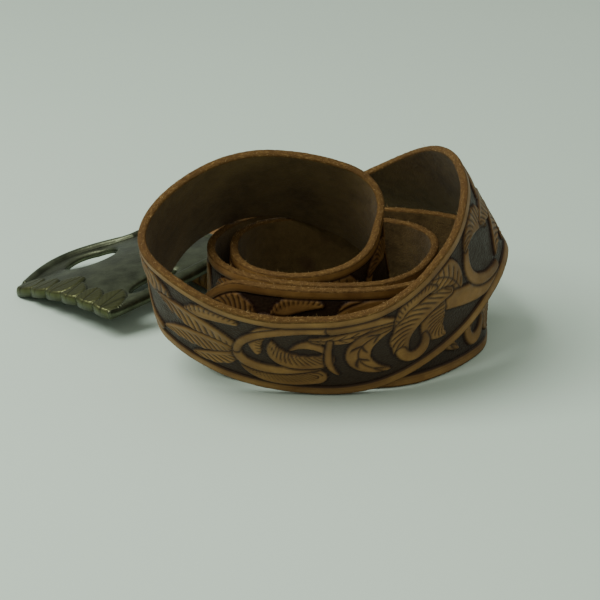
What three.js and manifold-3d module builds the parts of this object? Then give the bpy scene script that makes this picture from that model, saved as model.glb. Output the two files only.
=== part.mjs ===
// Western belt, coiled: one long strap standing on its edge, its buckle lying at the end of it.
// Millimetres, +Z up. The coil's near side faces -Y, and the buckle lies to its left, at -X.
import * as THREE from "three";
import { mergeVertices } from "three/addons/utils/BufferGeometryUtils.js";
import Module from "manifold-3d";

const wasm = await Module();
wasm.setup();

// Strap
const STRAP_WIDTH = 38;
const STRAP_THICK = 2.8;
const EDGE_CHAMFER = 0.6;
const STRAP_STEP = 5.5;
const FRAME_REACH = 7;
const TIP_LENGTH = 21;
const TIP_NOSE_WIDTH = 11;
const HOLE_DIAMETER = 4.8;
const HOLE_PITCH = 25;
const HOLE_COUNT = 5;
const FIRST_HOLE = 62;

// Coil, the room that the strap's turns take on the table
const COIL_WIDTH = 120;
const COIL_DEPTH = 90;

// Fold of the strap round the buckle's bar, and the rivets that close it
const BAR_THICK = 2.2;
const BAR_DEPTH = 5;
const BAR_CLEARANCE = 0.4;
const FOLD_RETURN = 17;
const RIVET_SHANK = 4;
const RIVET_HEAD = 9;
const RIVET_HEAD_HEIGHT = 1.2;
const RIVET_SPACING = 18;
const RIVET_SETBACK = 10;
const FIT_CLEARANCE = 0.3;

// Buckle: its length runs along the belt
const PLATE_LENGTH = 68;
const PLATE_WIDTH = 54;
const PLATE_THICK = 2.4;
const PLATE_DOME = 4;
const PLATE_FRONT_HEIGHT = 3.4;
const PLATE_TURN = 39;
const PLATE_RISE = 9;
const PLATE_ROLL = 7;
const BAR_SETBACK = 10;
const FAR_BULGE = 10;
const NEAR_BULGE = 1;
const BULGE_REACH = 0.76;
const END_SLANT = 6;
const END_TAPER = 5;
const SLOT_LENGTH = 21;
const SLOT_PLACE = 0.44;
const FAR_SLOT_WIDTH = 19;
const NEAR_SLOT_WIDTH = 6;
const RIM_WIDTH = 4;
const RIM_HEIGHT = 1.3;
const LEAF_COUNT = 6;
const LEAF_LENGTH = 11.5;
const LEAF_HEIGHT = 1;
const LEG_THICK = 2.4;
const LEG_REACH = 18;
const POST_DIAMETER = 4;
const POST_LENGTH = 6;
const POST_SETBACK = 15;

const LEATHER = new THREE.MeshStandardMaterial({
  name: "tooled_leather",
  color: 0x6b4226,
  roughness: 0.62,
  metalness: 0,
});
const PEWTER = new THREE.MeshStandardMaterial({
  name: "antique_pewter",
  color: 0x4a4a38,
  roughness: 0.45,
  metalness: 1,
});

const radians = THREE.MathUtils.degToRad;

// The strap's path from its tip to the buckle. Each row is one place on it: side and depth of the
// strap's middle as shares of the coil's width and depth, lift of its lower edge as a share of the
// strap's width, and the lean of its top edge away from the coil's middle, in degrees.
const PATH = [
  { side: -0.358, depth: 0.268, lift: 0, lean: 0 },
  { side: -0.283, depth: 0.19, lift: 0, lean: 2 },
  { side: -0.183, depth: 0.126, lift: 0, lean: 4 },
  { side: -0.067, depth: 0.09, lift: 0, lean: 6 },
  { side: 0.067, depth: 0.078, lift: 0, lean: 6 },
  { side: 0.183, depth: 0.088, lift: 0, lean: 3 },
  { side: 0.271, depth: 0.14, lift: 0, lean: 0 },
  { side: 0.384, depth: 0.272, lift: 0, lean: 0 },
  { side: 0.465, depth: 0.44, lift: 0, lean: 0 },
  { side: 0.48, depth: 0.59, lift: 0, lean: 0 },
  { side: 0.455, depth: 0.73, lift: 0, lean: 0 },
  { side: 0.358, depth: 0.822, lift: 0, lean: 0 },
  { side: 0.233, depth: 0.872, lift: 0, lean: 0 },
  { side: 0.083, depth: 0.895, lift: 0, lean: 0 },
  { side: -0.067, depth: 0.886, lift: 0, lean: 0 },
  { side: -0.188, depth: 0.812, lift: 0, lean: 0 },
  { side: -0.275, depth: 0.688, lift: 0, lean: 0 },
  { side: -0.317, depth: 0.533, lift: 0, lean: 0 },
  { side: -0.304, depth: 0.372, lift: 0, lean: 0 },
  { side: -0.25, depth: 0.25, lift: 0, lean: 0 },
  { side: -0.158, depth: 0.168, lift: 0, lean: 2 },
  { side: -0.05, depth: 0.134, lift: 0, lean: 5 },
  { side: 0.067, depth: 0.124, lift: 0, lean: 5 },
  { side: 0.167, depth: 0.136, lift: 0, lean: 2 },
  { side: 0.254, depth: 0.222, lift: 0, lean: 0 },
  { side: 0.304, depth: 0.356, lift: 0, lean: 0 },
  { side: 0.329, depth: 0.5, lift: 0, lean: 0 },
  { side: 0.317, depth: 0.622, lift: 0, lean: 0 },
  { side: 0.258, depth: 0.72, lift: 0, lean: 0 },
  { side: 0.18, depth: 0.765, lift: 0, lean: 0 },
  { side: 0.067, depth: 0.788, lift: 0, lean: 0 },
  { side: -0.067, depth: 0.782, lift: 0, lean: 0 },
  { side: -0.17, depth: 0.738, lift: 0, lean: 0 },
  { side: -0.232, depth: 0.64, lift: 0, lean: 0 },
  { side: -0.252, depth: 0.511, lift: 0, lean: 0 },
  { side: -0.237, depth: 0.365, lift: 0, lean: 0 },
  { side: -0.18, depth: 0.252, lift: 0.01, lean: 3 },
  { side: -0.085, depth: 0.192, lift: 0.03, lean: 6 },
  { side: 0.008, depth: 0.188, lift: 0.07, lean: 8 },
  { side: 0.092, depth: 0.232, lift: 0.14, lean: 8 },
  { side: 0.152, depth: 0.325, lift: 0.245, lean: 3 },
  { side: 0.176, depth: 0.44, lift: 0.39, lean: -7 },
  { side: 0.16, depth: 0.54, lift: 0.575, lean: -16 },
  { side: 0.1, depth: 0.61, lift: 0.78, lean: -24 },
  { side: 0.005, depth: 0.645, lift: 0.915, lean: -31 },
  { side: -0.113, depth: 0.65, lift: 1.01, lean: -35 },
  { side: -0.231, depth: 0.617, lift: 1.01, lean: -33 },
  { side: -0.353, depth: 0.536, lift: 0.885, lean: -26 },
  { side: -0.441, depth: 0.397, lift: 0.7, lean: -12 },
  { side: -0.48, depth: 0.245, lift: 0.54, lean: 3 },
  { side: -0.466, depth: 0.11, lift: 0.44, lean: 17 },
  { side: -0.396, depth: 0.018, lift: 0.33, lean: 26 },
  { side: -0.29, depth: -0.036, lift: 0.19, lean: 31 },
  { side: -0.17, depth: -0.052, lift: 0.07, lean: 30 },
  { side: -0.05, depth: -0.052, lift: 0.01, lean: 26 },
  { side: 0.067, depth: -0.05, lift: 0.01, lean: 24 },
  { side: 0.183, depth: -0.028, lift: 0.09, lean: 22 },
  { side: 0.3, depth: 0.045, lift: 0.26, lean: 14 },
  { side: 0.397, depth: 0.165, lift: 0.5, lean: 0 },
  { side: 0.452, depth: 0.33, lift: 0.73, lean: -17 },
  { side: 0.464, depth: 0.52, lift: 0.86, lean: -28 },
  { side: 0.44, depth: 0.72, lift: 0.84, lean: -30 },
  { side: 0.388, depth: 0.945, lift: 0.7, lean: -34 },
  { side: 0.283, depth: 1.13, lift: 0.5, lean: -41 },
  { side: 0.15, depth: 1.255, lift: 0.35, lean: -50 },
  { side: 0.01, depth: 1.325, lift: 0.235, lean: -60 },
  { side: -0.115, depth: 1.33, lift: 0.17, lean: -72 },
  { side: -0.215, depth: 1.3, lift: 0.19, lean: -84 },
  { side: -0.303, depth: 1.248, lift: 0.2, lean: -90 },
  { side: -0.4215, depth: 1.13, lift: 0.2, lean: -90 },
];

// The place, the way along and the way across the strap at one share of its path.
function frameAt(curve, leans, share) {
  const step = FRAME_REACH / curve.getLength();
  const near = Math.min(step, Math.max(1 - share, 0.2 * step));
  const low = Math.max(0, share - near);
  const high = Math.min(1, share + near);
  const before = curve.getPoint(low);
  const after = curve.getPoint(high);
  const along = after.sub(before).normalize();
  const outward = new THREE.Vector3(along.y, -along.x, 0).normalize();
  const upright = outward.clone().cross(along).normalize();
  const lean = radians((leans.getPoint(low).x + leans.getPoint(high).x) / 2);
  const across = upright.multiplyScalar(Math.cos(lean));
  across.addScaledVector(outward, Math.sin(lean));
  const face = along.clone().cross(across).normalize();
  return { at: curve.getPoint(share), along, across, face, lean };
}

function pathFrames() {
  const middles = PATH.map(
    (row) =>
      new THREE.Vector3(
        row.side * COIL_WIDTH,
        row.depth * COIL_DEPTH,
        row.lift * STRAP_WIDTH +
          (STRAP_WIDTH / 2) * Math.cos(radians(row.lean)) +
          (STRAP_THICK / 2) * Math.abs(Math.sin(radians(row.lean))),
      ),
  );
  const curve = new THREE.CatmullRomCurve3(middles, false, "centripetal");
  const leans = new THREE.CatmullRomCurve3(
    PATH.map((row, i) => new THREE.Vector3(row.lean, i * 3, 0)),
    false,
    "centripetal",
  );
  const length = curve.getLength();
  const count = Math.round(length / STRAP_STEP);
  const frames = [];
  curve.arcLengthDivisions = 2000;
  for (let i = 0; i <= count; i++) {
    const share = curve.getUtoTmapping(i / count);
    frames.push({ ...frameAt(curve, leans, share), reach: (i / count) * length });
  }
  return frames;
}

// Half the strap's width at a distance from its tip: it narrows to a blunt nose.
function halfWidthAt(reach) {
  const share = Math.min(1, reach / TIP_LENGTH);
  const rounded = Math.sin((share * Math.PI) / 2);
  return (TIP_NOSE_WIDTH + (STRAP_WIDTH - TIP_NOSE_WIDTH) * rounded) / 2;
}

// One cross-section of the strap, its corners in turn.
function sectionRing(frame) {
  const half = halfWidthAt(frame.reach);
  const deep = STRAP_THICK / 2;
  const cut = EDGE_CHAMFER;
  const corners = [
    { across: -half + cut, face: deep },
    { across: half - cut, face: deep },
    { across: half, face: deep - cut },
    { across: half, face: -deep + cut },
    { across: half - cut, face: -deep },
    { across: -half + cut, face: -deep },
    { across: -half, face: -deep + cut },
    { across: -half, face: deep - cut },
  ];
  return corners.map((corner) =>
    frame.at
      .clone()
      .addScaledVector(frame.across, corner.across)
      .addScaledVector(frame.face, corner.face),
  );
}

// A closed solid through rings of as many corners each.
function loft(rings) {
  const size = rings[0].length;
  const positions = rings.flat().flatMap((p) => [p.x, p.y, p.z]);
  const faces = [];
  for (let i = 0; i + 1 < rings.length; i++) {
    for (let j = 0; j < size; j++) {
      const a = i * size + j;
      const b = i * size + ((j + 1) % size);
      faces.push(a, a + size, b, b, a + size, b + size);
    }
  }
  const last = (rings.length - 1) * size;
  for (let j = 1; j + 1 < size; j++) {
    faces.push(0, j, j + 1);
    faces.push(last, last + j + 1, last + j);
  }
  const geometry = new THREE.BufferGeometry();
  geometry.setAttribute("position", new THREE.Float32BufferAttribute(positions, 3));
  geometry.setIndex(faces);
  return geometry;
}

// The strap's end past the path: over the bar, round it and back underneath.
function foldFrames(end) {
  const radius = BAR_THICK / 2 + BAR_CLEARANCE + STRAP_THICK / 2;
  const middle = end.at.clone().addScaledVector(end.face, -radius);
  const turned = (degrees, back) => {
    const angle = radians(degrees);
    const face = end.face.clone().multiplyScalar(Math.cos(angle));
    face.addScaledVector(end.along, Math.sin(angle));
    const at = middle.clone().addScaledVector(face, radius);
    at.addScaledVector(end.along, -back);
    const along = new THREE.Vector3().crossVectors(end.across, face);
    return { at, along, across: end.across, face, reach: end.reach };
  };
  const made = [];
  for (let degrees = 20; degrees <= 180; degrees += 20) made.push(turned(degrees, 0));
  for (let back = 6; back < FOLD_RETURN; back += 7) made.push(turned(180, back));
  made.push(turned(180, FOLD_RETURN));
  return made;
}

function solidOf(geometry) {
  const bare = geometry.clone();
  bare.deleteAttribute("normal");
  bare.deleteAttribute("uv");
  const merged = mergeVertices(bare, 1e-4);
  return new wasm.Manifold(
    new wasm.Mesh({
      numProp: 3,
      vertProperties: merged.attributes.position.array,
      triVerts: new Uint32Array(merged.index.array),
    }),
  );
}

function geometryOf(solid) {
  const mesh = solid.getMesh();
  const geometry = new THREE.BufferGeometry();
  geometry.setAttribute("position", new THREE.BufferAttribute(mesh.vertProperties, 3));
  geometry.setIndex(new THREE.BufferAttribute(mesh.triVerts, 1));
  return geometry;
}

// A solid of its own frame, whose Z runs out of the strap's face at one place on the strap.
function placedOnFace(solid, frame, shift) {
  const out = frame.face;
  const side = frame.across;
  const along = new THREE.Vector3().crossVectors(side, out);
  const at = frame.at.clone().addScaledVector(side, shift);
  const matrix = new THREE.Matrix4().makeBasis(along, side, out).setPosition(at);
  return solid.transform(matrix.toArray());
}

function roundBar(diameter, low, high, sides = 16) {
  const bar = wasm.Manifold.cylinder(high - low, diameter / 2, diameter / 2, sides);
  return bar.translate([0, 0, low]);
}

const pathRun = pathFrames();
const endFrame = pathRun[pathRun.length - 1];
const strapRun = [...pathRun, ...foldFrames(endFrame)];
const foldDepth = BAR_THICK + 2 * BAR_CLEARANCE + 2 * STRAP_THICK;

function nearestFrame(reach) {
  return pathRun.reduce((best, frame) =>
    Math.abs(frame.reach - reach) < Math.abs(best.reach - reach) ? frame : best,
  );
}

// The rivets stand on the straight end of the strap, a setback behind the bar.
function rivetFrame() {
  const at = endFrame.at.clone().addScaledVector(endFrame.along, -RIVET_SETBACK);
  return { ...endFrame, at };
}

function makeStrap() {
  let solid = solidOf(loft(strapRun.map(sectionRing)));
  const punch = roundBar(HOLE_DIAMETER, -STRAP_THICK * 1.5, STRAP_THICK * 1.5);
  for (let i = 0; i < HOLE_COUNT; i++) {
    const frame = nearestFrame(FIRST_HOLE + i * HOLE_PITCH);
    solid = solid.subtract(placedOnFace(punch, frame, 0));
  }
  const drill = roundBar(RIVET_SHANK + 2 * FIT_CLEARANCE, -foldDepth, STRAP_THICK * 2);
  for (const way of [-1, 1]) {
    solid = solid.subtract(placedOnFace(drill, rivetFrame(), (way * RIVET_SPACING) / 2));
  }
  return geometryOf(solid);
}

// A rivet through both layers of the fold, a head outside each.
function makeRivet(way) {
  const top = STRAP_THICK / 2 + FIT_CLEARANCE;
  const bottom = top - foldDepth - 2 * FIT_CLEARANCE;
  const shank = roundBar(RIVET_SHANK, bottom - 0.1, top + 0.1);
  const upper = roundBar(RIVET_HEAD, top, top + RIVET_HEAD_HEIGHT, 24);
  const lower = roundBar(RIVET_HEAD, bottom - RIVET_HEAD_HEIGHT, bottom, 24);
  const solid = shank.add(upper).add(lower);
  return geometryOf(placedOnFace(solid, rivetFrame(), (way * RIVET_SPACING) / 2));
}

// Buckle, in its own frame: X along the belt from the free end, Y towards its far side.
const half = PLATE_WIDTH / 2;

// How far the plate's skin stands above its edge at a place on it.
function domeAt(x, y) {
  const over = Math.max(0, 1 - (y / half) ** 2);
  const along = Math.sin((Math.min(1, Math.max(0, x / PLATE_LENGTH)) * 0.75 + 0.2) * Math.PI);
  return PLATE_DOME * over * Math.max(0, along);
}

function ellipse(x, y, wide, tall, sides = 24) {
  return wasm.CrossSection.circle(1, sides).scale([wide / 2, tall / 2]).translate([x, y]);
}

// How far the slanted free end stands back at a place across the plate.
function slantAt(y) {
  return END_SLANT * (0.5 - y / PLATE_WIDTH);
}

function plateOutline() {
  const far = [];
  const near = [];
  const steps = 24;
  for (let i = 0; i <= steps; i++) {
    const share = i / steps;
    const bulge = Math.sin(Math.PI * Math.min(1, share / BULGE_REACH));
    const side = half - END_TAPER * Math.max(0, share - 0.86) / 0.14;
    far.push([share * PLATE_LENGTH, side + FAR_BULGE * bulge]);
    const cut = END_SLANT * (1 - share);
    near.push([cut + share * PLATE_LENGTH, -side - NEAR_BULGE * bulge]);
  }
  let outline = wasm.CrossSection.ofPolygons([[...near, ...far.reverse()]]);
  const pitch = PLATE_WIDTH / LEAF_COUNT;
  for (let i = 0; i < LEAF_COUNT; i++) {
    const y = -half + pitch * (i + 0.5);
    outline = outline.add(ellipse(0.6 + slantAt(y), y, 3.4, pitch * 1.1));
  }
  return outline;
}

function slotShapes() {
  const place = PLATE_LENGTH * SLOT_PLACE;
  const far = half + FAR_BULGE * 0.9 - RIM_WIDTH * 1.6 - FAR_SLOT_WIDTH / 2;
  const near = half + NEAR_BULGE - RIM_WIDTH - 0.5 - NEAR_SLOT_WIDTH / 2;
  return [
    ellipse(place, -near, SLOT_LENGTH, NEAR_SLOT_WIDTH),
    ellipse(place, far, SLOT_LENGTH, FAR_SLOT_WIDTH),
  ];
}

// A flat shape as a thin solid that follows the plate's dome, from one height to another.
function domed(shape, low, high) {
  const flat = shape.extrude(high - low).translate([0, 0, low]).refineToLength(4.2);
  return flat.warp((vertex) => {
    vertex[2] += domeAt(vertex[0], vertex[1]);
  });
}

// One raised leaf of the short side: a pointed lobe that runs back over the plate.
function leafShape(index) {
  const pitch = PLATE_WIDTH / LEAF_COUNT;
  const y = -half + pitch * (index + 0.5);
  const reach = LEAF_LENGTH * (1 + 0.25 * Math.cos(index * 2.1));
  const lobe = ellipse(reach / 2 - 1, 0, reach, pitch * 0.86, 16);
  return lobe.rotate(index < LEAF_COUNT / 2 ? 14 : -14).translate([slantAt(y), y]);
}

function makePlate() {
  const outline = plateOutline();
  const slots = slotShapes();
  let body = outline;
  for (const slot of slots) body = body.subtract(slot);
  let solid = domed(body, 0, PLATE_THICK);
  const sides = outline.subtract(outline.offset(-RIM_WIDTH, "Round"));
  const band = wasm.CrossSection.square([PLATE_LENGTH * 0.98, PLATE_WIDTH * 2])
    .translate([PLATE_LENGTH * 0.06, -PLATE_WIDTH]);
  solid = solid.add(domed(sides.intersect(band), PLATE_THICK / 2, PLATE_THICK + RIM_HEIGHT));
  for (let i = 0; i < LEAF_COUNT; i++) {
    solid = solid.add(domed(leafShape(i), PLATE_THICK / 2, PLATE_THICK + LEAF_HEIGHT));
  }
  return solid;
}

// The matrix that lays the buckle beside the coil, its bar end held over the strap's end.
function buckleMatrix() {
  const matrix = new THREE.Matrix4().makeRotationZ(radians(PLATE_TURN));
  matrix.multiply(new THREE.Matrix4().makeRotationY(-radians(PLATE_RISE)));
  matrix.multiply(new THREE.Matrix4().makeRotationX(-radians(PLATE_ROLL)));
  const front = endFrame.at.clone();
  const back = PLATE_LENGTH - BAR_SETBACK;
  const along = new THREE.Vector3(1, 0, 0).applyMatrix4(matrix);
  front.addScaledVector(along, -back);
  front.z = PLATE_FRONT_HEIGHT;
  return matrix.setPosition(front);
}

// What lies under the plate, so that the pieces there end just below it.
function underPlate() {
  const square = wasm.CrossSection.square([PLATE_LENGTH * 1.2, PLATE_WIDTH * 1.4]);
  const shape = square.translate([-PLATE_LENGTH * 0.1, -PLATE_WIDTH * 0.7]);
  return domed(shape, -LEG_REACH * 2, -FIT_CLEARANCE);
}

// The bar that the strap folds round, on two legs that reach up to the plate.
function makeLoop() {
  const reach = STRAP_WIDTH / 2 + FIT_CLEARANCE;
  const box = (long, wide, tall) => wasm.Manifold.cube([long, wide, tall]);
  const span = 2 * (reach + LEG_THICK);
  let solid = box(BAR_DEPTH, span, BAR_THICK).translate([-BAR_DEPTH, -span / 2, -BAR_THICK / 2]);
  for (const start of [-reach - LEG_THICK, reach]) {
    const leg = box(BAR_DEPTH, LEG_THICK, LEG_REACH);
    solid = solid.add(leg.translate([-BAR_DEPTH, start, -BAR_THICK / 2]));
  }
  const middle = endFrame.at.clone();
  middle.addScaledVector(endFrame.face, -(BAR_THICK / 2 + BAR_CLEARANCE + STRAP_THICK / 2));
  const out = endFrame.face;
  const along = new THREE.Vector3().crossVectors(endFrame.across, out);
  const matrix = new THREE.Matrix4().makeBasis(along, endFrame.across, out);
  solid = solid.transform(matrix.setPosition(middle).toArray());
  return geometryOf(solid.intersect(underPlate().transform(buckleMatrix().toArray())));
}

// The post that catches the strap's holes, under the free end of the plate.
function makePost() {
  const top = PLATE_DOME + PLATE_THICK;
  const bottom = domeAt(POST_SETBACK, 0) - POST_LENGTH;
  const post = roundBar(POST_DIAMETER, bottom, top).translate([POST_SETBACK, 0, 0]);
  return geometryOf(post.intersect(underPlate()));
}

const belt = new THREE.Group();
belt.name = "western_belt";

function addPiece(name, geometry, material, matrix) {
  if (matrix) geometry.applyMatrix4(matrix);
  const mesh = new THREE.Mesh(geometry, material);
  mesh.name = name;
  belt.add(mesh);
}

addPiece("strap", makeStrap(), LEATHER);
addPiece("fold_rivet_far", makeRivet(-1), PEWTER);
addPiece("fold_rivet_near", makeRivet(1), PEWTER);
addPiece("strap_loop", makeLoop(), PEWTER);
addPiece("hook_post", makePost(), PEWTER, buckleMatrix());
addPiece("buckle_plate", geometryOf(makePlate()), PEWTER, buckleMatrix());

// The belt stands over the origin: middle of its footprint, lowest edge on the ground.
const bounds = new THREE.Box3().setFromObject(belt);
const centre = bounds.getCenter(new THREE.Vector3());
for (const mesh of belt.children) mesh.geometry.translate(-centre.x, -centre.y, -bounds.min.z);

export default belt;
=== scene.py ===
"""A coiled western belt with carved leaves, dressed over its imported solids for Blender 4.5."""

import logging
import math
from dataclasses import dataclass, field
from enum import Enum

import bmesh
import bpy
import numpy as np
from mathutils import Matrix, Vector


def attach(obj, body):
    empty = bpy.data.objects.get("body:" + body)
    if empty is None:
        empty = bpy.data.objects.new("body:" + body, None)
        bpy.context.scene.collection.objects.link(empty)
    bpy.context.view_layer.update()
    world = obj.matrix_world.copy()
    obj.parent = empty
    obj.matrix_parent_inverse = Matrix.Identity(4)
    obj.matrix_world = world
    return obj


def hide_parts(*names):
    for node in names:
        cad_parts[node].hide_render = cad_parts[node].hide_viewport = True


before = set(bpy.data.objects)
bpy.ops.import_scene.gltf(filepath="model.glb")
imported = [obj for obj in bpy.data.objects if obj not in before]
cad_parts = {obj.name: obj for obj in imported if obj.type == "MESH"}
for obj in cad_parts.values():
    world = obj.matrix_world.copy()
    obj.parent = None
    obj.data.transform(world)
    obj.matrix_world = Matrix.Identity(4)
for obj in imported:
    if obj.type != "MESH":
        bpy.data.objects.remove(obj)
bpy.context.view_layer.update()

LOG = logging.getLogger("belt")
MM = 0.001
Triple = tuple[float, float, float]
Socket = bpy.types.NodeSocket

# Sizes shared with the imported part, in millimetres
STRAP_WIDTH = 38.0
STRAP_THICK = 2.8
COIL_WIDTH = 120.0
COIL_DEPTH = 90.0
FRAME_REACH = 7.0
TIP_LENGTH = 21.0
TIP_NOSE_WIDTH = 11.0
HOLE_DIAMETER = 4.8
HOLE_PITCH = 25.0
HOLE_COUNT = 5
FIRST_HOLE = 62.0
BAR_THICK = 2.2
BAR_CLEARANCE = 0.4
FOLD_RETURN = 17.0
PART_CENTRE = np.array([-23.476, 61.464, -0.035])

# The strap's path: side, depth, lift and lean of each place, as in the part's source.
PATH = np.array([
    (-0.358, 0.268, 0, 0), (-0.283, 0.19, 0, 2), (-0.183, 0.126, 0, 4), (-0.067, 0.09, 0, 6),
    (0.067, 0.078, 0, 6), (0.183, 0.088, 0, 3), (0.271, 0.14, 0, 0), (0.384, 0.272, 0, 0),
    (0.465, 0.44, 0, 0), (0.48, 0.59, 0, 0), (0.455, 0.73, 0, 0), (0.358, 0.822, 0, 0),
    (0.233, 0.872, 0, 0), (0.083, 0.895, 0, 0), (-0.067, 0.886, 0, 0), (-0.188, 0.812, 0, 0),
    (-0.275, 0.688, 0, 0), (-0.317, 0.533, 0, 0), (-0.304, 0.372, 0, 0), (-0.25, 0.25, 0, 0),
    (-0.158, 0.168, 0, 2), (-0.05, 0.134, 0, 5), (0.067, 0.124, 0, 5), (0.167, 0.136, 0, 2),
    (0.254, 0.222, 0, 0), (0.304, 0.356, 0, 0), (0.329, 0.5, 0, 0), (0.317, 0.622, 0, 0),
    (0.258, 0.72, 0, 0), (0.18, 0.765, 0, 0), (0.067, 0.788, 0, 0), (-0.067, 0.782, 0, 0),
    (-0.17, 0.738, 0, 0), (-0.232, 0.64, 0, 0), (-0.252, 0.511, 0, 0), (-0.237, 0.365, 0, 0),
    (-0.18, 0.252, 0.01, 3), (-0.085, 0.192, 0.03, 6), (0.008, 0.188, 0.07, 8),
    (0.092, 0.232, 0.14, 8), (0.152, 0.325, 0.245, 3), (0.176, 0.44, 0.39, -7),
    (0.16, 0.54, 0.575, -16), (0.1, 0.61, 0.78, -24), (0.005, 0.645, 0.915, -31),
    (-0.113, 0.65, 1.01, -35), (-0.231, 0.617, 1.01, -33), (-0.353, 0.536, 0.885, -26),
    (-0.441, 0.397, 0.7, -12), (-0.48, 0.245, 0.54, 3), (-0.466, 0.11, 0.44, 17),
    (-0.396, 0.018, 0.33, 26), (-0.29, -0.036, 0.19, 31), (-0.17, -0.052, 0.07, 30),
    (-0.05, -0.052, 0.01, 26), (0.067, -0.05, 0.01, 24), (0.183, -0.028, 0.09, 22),
    (0.3, 0.045, 0.26, 14), (0.397, 0.165, 0.5, 0), (0.452, 0.33, 0.73, -17),
    (0.464, 0.52, 0.86, -28), (0.44, 0.72, 0.84, -30), (0.388, 0.945, 0.7, -34),
    (0.283, 1.13, 0.5, -41), (0.15, 1.255, 0.35, -50), (0.01, 1.325, 0.235, -60),
    (-0.115, 1.33, 0.17, -72), (-0.215, 1.3, 0.19, -84), (-0.303, 1.248, 0.2, -90),
    (-0.4215, 1.13, 0.2, -90),
])

# Tooling, in millimetres: one run of carving that repeats along the strap
CARVING_LENGTH = 135.0
CARVING_START = 723.0
BORDER_INSET = 3.9
GROUND_DEPTH = 0.65
LEAF_RISE = 0.34
SAMPLE_ALONG = 0.42
BEVEL_WIDTH = 1.1
BEVEL_DEPTH = 0.40
LEAF_EDGE_DROP = 0.22
LEAF_HOLLOW = 0.20
CUT_DEPTH = 0.30
BARE_END = 30.0
NOISE_CELLS = 256

# The parts of the strap's section, which are its material indices too
FACE, EDGE, BACK = 0, 1, 2


class Slot(Enum):
    """The record's material slots."""

    LEATHER = "tooled_leather"
    METAL = "antique_pewter"


class Cut(Enum):
    """The ways a leaf's inside is cut."""

    PLAIN = 0
    FLUTES = 1
    VEIN = 2
    RIBS = 3


@dataclass(frozen=True)
class Leaf:
    """One carved form: a curved stroke that swells and narrows, and the cuts inside it.

    Its four points are a cubic curve's, in millimetres along and across the strap.
    """

    points: tuple[tuple[float, float], ...]
    widths: Triple
    cut: Cut = Cut.PLAIN
    cuts: float = 6.0


# The leaves of one run of carving, from the lowest layer to the top one.
LEAVES = (
    Leaf(((84, -1), (84, 9), (78, 15), (68, 17.5)), (0.8, 6.2, 1.5), Cut.VEIN, 9),
    Leaf(((106, -14.5), (94, -13), (84, -4), (71, 5.5)), (1.8, 3.8, 3.2), Cut.PLAIN),
    Leaf(((-18, 6.5), (-14, 12.5), (-8, 14.5), (-1, 13)), (0.6, 3.4, 1.2), Cut.RIBS, 12),
    Leaf(((2, -2), (-5, 3.5), (-18, 3.5), (-28, 6)), (2.4, 4.8, 0.8), Cut.FLUTES, 11),
    Leaf(((2, -3), (-6, -3), (-14, -5), (-25, -10)), (2.0, 4.4, 0.8), Cut.FLUTES, 11),
    Leaf(((3, -3), (1, -8), (-4, -11), (-11, -13)), (1.6, 3.4, 0.8), Cut.FLUTES, 8),
    Leaf(((5, -6.5), (11, -12.5), (21, -12.5), (28.5, -9.5)), (1.2, 3.5, 3.7), Cut.FLUTES, 19),
    Leaf(((2.5, 1), (1, -8), (14, -10), (31, -4.5)), (1.3, 2.3, 0.6), Cut.PLAIN),
    Leaf(((12.5, 8), (14, -3), (24, -3.5), (31.5, -1)), (0.4, 3.8, 3.2), Cut.FLUTES, 13),
    Leaf(((19.5, 4.0), (24, 8.5), (29, 7), (32, 2)), (0.5, 2.1, 0.5), Cut.PLAIN),
    Leaf(((16, 12.5), (8, 15), (4.5, 8.5), (9, 0.5)), (0.8, 3.2, 1.4), Cut.RIBS, 14),
    Leaf(((2, -1), (1.5, 13), (18, 15.0), (36, 14.0)), (1.3, 2.0, 2.4), Cut.PLAIN),
    Leaf(((34, 14.0), (47, 15.3), (55, 12.5), (59.5, 6)), (2.4, 3.0, 0.5), Cut.PLAIN),
    Leaf(((26, 9.5), (34, 7.5), (46, 11.0), (57, 9.0)), (0.8, 2.5, 0.8), Cut.VEIN, 7),
    Leaf(((33, 8), (32, 1), (31.5, -4), (35.5, -8.5)), (1.2, 1.4, 0.4), Cut.PLAIN),
    Leaf(((56, 8.0), (41, 8.5), (36.5, -4), (51, -11)), (0.6, 4.4, 0.6), Cut.VEIN, 4),
    Leaf(((56.5, 3.5), (59, 15.5), (69, 15.8), (75, 11)), (1.0, 3.1, 0.8), Cut.RIBS, 15),
    Leaf(((78, 6), (71, 2), (66, -4), (72, -11)), (0.8, 5.4, 1.2), Cut.FLUTES, 12),
    Leaf(((57, -8.5), (53, 5), (66, 11), (80, 3.5)), (1.8, 4.8, 1.8), Cut.FLUTES, 12),
    Leaf(((65.5, -4), (66, -12.5), (57, -13.5), (56, -5.5)), (0.8, 2.4, 2.0), Cut.PLAIN),
    Leaf(((107, -12.5), (91, -11), (86, 3), (95, 10.5)), (1.8, 2.2, 1.5), Cut.PLAIN),
    Leaf(((93, 10), (101, 15), (110, 9.5), (113, 0.5)), (1.4, 4.4, 0.6), Cut.FLUTES, 11),
)


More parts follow.
